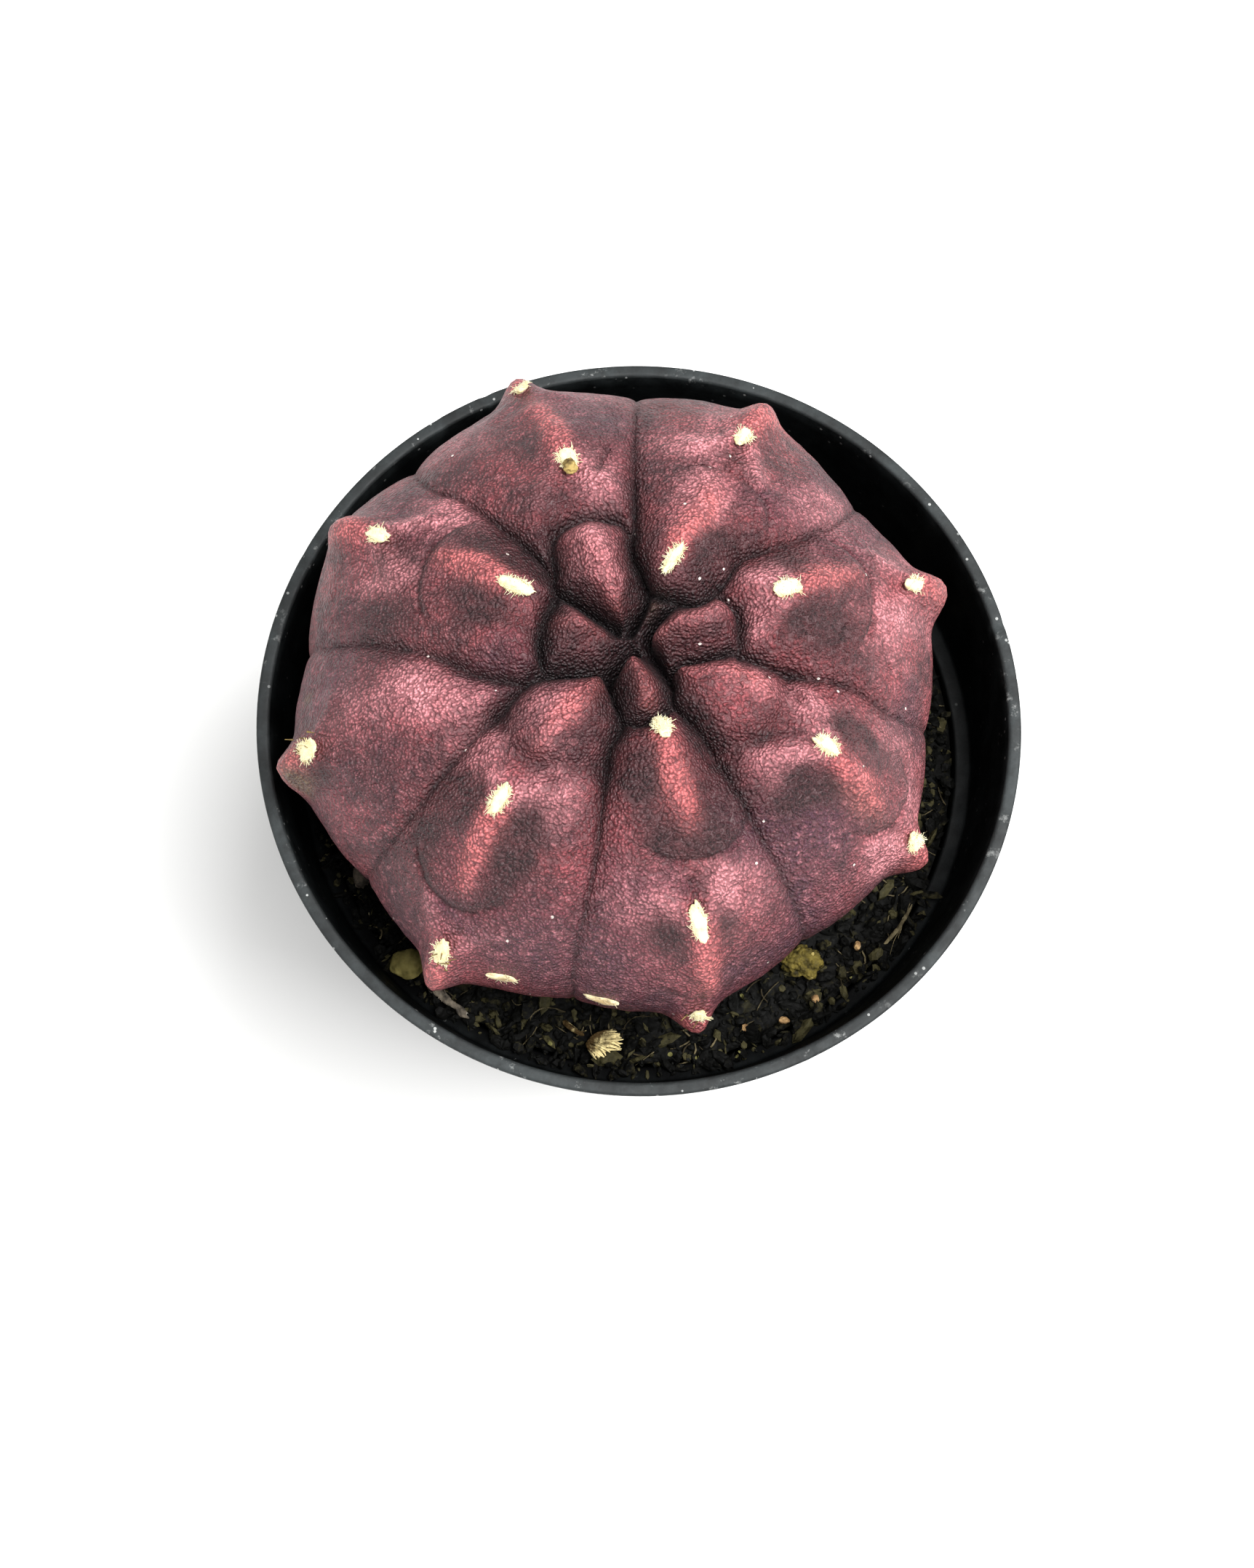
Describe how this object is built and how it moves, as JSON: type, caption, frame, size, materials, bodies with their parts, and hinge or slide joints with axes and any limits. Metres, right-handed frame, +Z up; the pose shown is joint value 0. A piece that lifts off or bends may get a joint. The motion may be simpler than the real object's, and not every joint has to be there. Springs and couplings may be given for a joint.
{
  "type": "potted round cactus",
  "caption": "Small ribbed globe cactus with woolly areoles, set in dark peat soil in a round black nursery pot with a collared rim.",
  "frame": {"origin": "centre of the pot's foot ring, on the surface that the pot stands on", "axes": "+Z up along the pot's axis, -Y towards the front, +X to the right"},
  "size_m": [0.07, 0.07, 0.0815],
  "materials": {
    "pot_plastic": "black moulded polypropylene, satin, scuffed along the rim",
    "cactus_skin": "dusky mauve-pink living skin, finely papillate, satin",
    "areole_wool": "short cream felt",
    "old_areole": "flattened tan felt",
    "soil": "damp dark peat, crumbly",
    "dried_flower": "dry papery straw",
    "moss": "olive moss",
    "bark": "rough dark bark",
    "root_fibre": "dry fibre",
    "grit": "rough tan mineral grain"
  },
  "bodies": {
    "root": {"areole_a_1": "areole_wool", "areole_a_2": "areole_wool", "areole_a_3": "areole_wool", "areole_b_1": "areole_wool", "areole_b_2": "areole_wool", "areole_b_3": "areole_wool", "areole_c_1": "areole_wool", "areole_c_2": "areole_wool", "areole_c_3": "areole_wool", "areole_d_1": "areole_wool", "areole_d_2": "areole_wool", "areole_d_3": "areole_wool", "areole_e_1": "areole_wool", "areole_e_2": "areole_wool", "areole_e_3": "areole_wool", "areole_e_4": "areole_wool", "areole_f_1": "areole_wool", "areole_f_2": "areole_wool", "areole_f_3": "areole_wool", "areole_g_1": "areole_wool", "areole_g_2": "areole_wool", "areole_h_1": "areole_wool", "areole_h_2": "areole_wool", "areole_h_3": "areole_wool", "bark_chip_back": "bark", "bark_chip_left": "bark", "bark_chip_right": "bark", "bark_strip": "bark", "cactus_body": "cactus_skin", "dried_flower": "dried_flower", "dried_flower_stalk": "dried_flower", "grit_grain_1": "grit", "grit_grain_2": "grit", "grit_grain_3": "grit", "grit_grain_4": "grit", "grit_grain_5": "grit", "moss_clump_left": "moss", "moss_clump_right": "moss", "nursery_pot": "pot_plastic", "old_areole_front": "old_areole", "old_areole_left": "old_areole", "potting_soil": "soil", "root_fibre_back": "root_fibre", "root_fibre_right": "root_fibre"}
  },
  "joints": []
}
